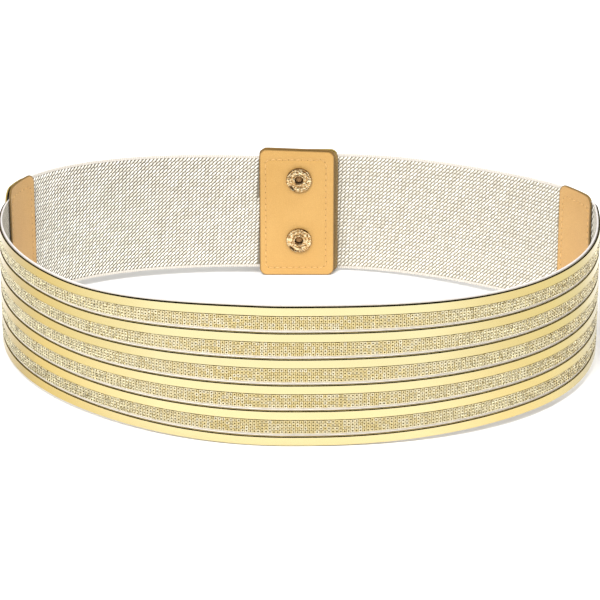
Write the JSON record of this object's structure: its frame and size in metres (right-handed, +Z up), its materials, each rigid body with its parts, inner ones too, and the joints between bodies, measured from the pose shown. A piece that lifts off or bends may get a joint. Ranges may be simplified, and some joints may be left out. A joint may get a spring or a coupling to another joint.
{
  "type": "wide waist belt with metal strips and an elastic back",
  "caption": "Wide waist belt: curved front panel of polished gold strips and studded glitter strips, cream elastic back, leather end covers and a snap-closed leather tab.",
  "frame": {"origin": "centre of the belt's bounding box, on the surface that its lower edge stands on", "axes": "+X to the right seen from the front panel, +Y from the front panel towards the closure, +Z up"},
  "size_m": [0.2614, 0.1992, 0.0626],
  "materials": {
    "gold": "mirror polished gold",
    "glitter": "small faceted gold studs",
    "backing": "pale flexible panel",
    "elastic": "cream twill elastic webbing",
    "leather": "smooth tan leather",
    "gold_leather": "gold coated leather",
    "snap": "polished pale gold"
  },
  "bodies": {
    "root": {"panel_backing": "backing", "gold_strip_1": "gold", "gold_strip_2": "gold", "gold_strip_3": "gold", "gold_strip_4": "gold", "gold_strip_5": "gold", "gold_strip_6": "gold", "glitter_strip_1": "glitter", "glitter_strip_2": "glitter", "glitter_strip_3": "glitter", "glitter_strip_4": "glitter", "glitter_strip_5": "glitter", "elastic_left": "elastic", "elastic_right": "elastic", "cover_left_outer": "gold_leather", "cover_right_outer": "gold_leather", "cover_left_inner": "leather", "cover_right_inner": "leather", "tab_front_lining": "leather", "tab_front_leather": "leather", "tab_back_lining": "leather", "tab_back_leather": "gold_leather", "snap_upper_eyelet": "snap", "snap_upper_stud": "snap", "snap_upper_socket": "snap", "snap_upper_cap": "snap", "snap_lower_eyelet": "snap", "snap_lower_stud": "snap", "snap_lower_socket": "snap", "snap_lower_cap": "snap"}
  },
  "joints": []
}
